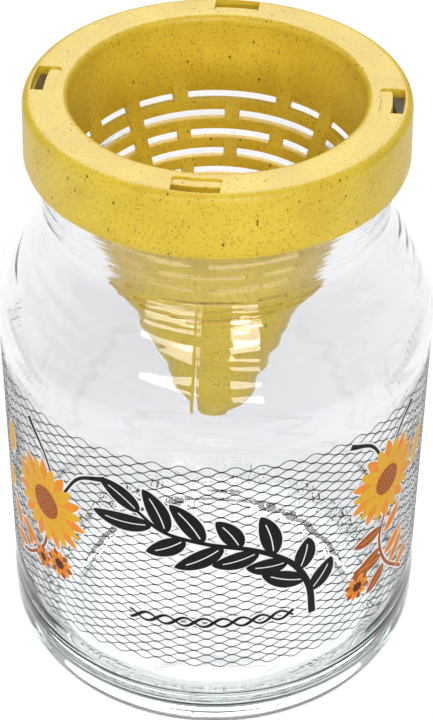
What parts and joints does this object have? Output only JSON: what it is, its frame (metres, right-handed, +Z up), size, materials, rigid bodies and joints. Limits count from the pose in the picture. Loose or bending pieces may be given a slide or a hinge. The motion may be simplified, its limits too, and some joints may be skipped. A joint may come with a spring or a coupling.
{
  "type": "wasp trap",
  "caption": "Wide-mouth glass jar trap with a slotted funnel hanging in its neck, a twist-off windowed collar over it and a printed clear film on the jar.",
  "frame": {"origin": "centre of the foot ring that the jar stands on", "axes": "+Z up along the jar's axis, -Y towards the printed front, +X to the right seen from the front"},
  "size_m": [0.1048, 0.1048, 0.158],
  "materials": {
    "jar_glass": "clear, faintly green soda glass, slightly wavy, stippled round the heel",
    "printed_film": "clear film printed with a dark wavy net and flat motifs",
    "bioplastic": "satin yellow with fine dark brown plant-fibre specks"
  },
  "bodies": {
    "jar": {"glass_jar": "jar_glass", "label_film": "printed_film"},
    "funnel": {"funnel_insert": "bioplastic"},
    "collar": {"screw_collar": "bioplastic"}
  },
  "joints": [
    {"name": "lid_lift", "type": "slide", "parent": "jar", "child": "funnel", "axis": [0, 0, 1], "range_m": [0, 0.1]},
    {"name": "collar_twist", "type": "hinge", "parent": "funnel", "child": "collar", "pos_m": [0, 0, 0.157], "axis": [0, 0, 1], "range_deg": [0, 60]}
  ]
}
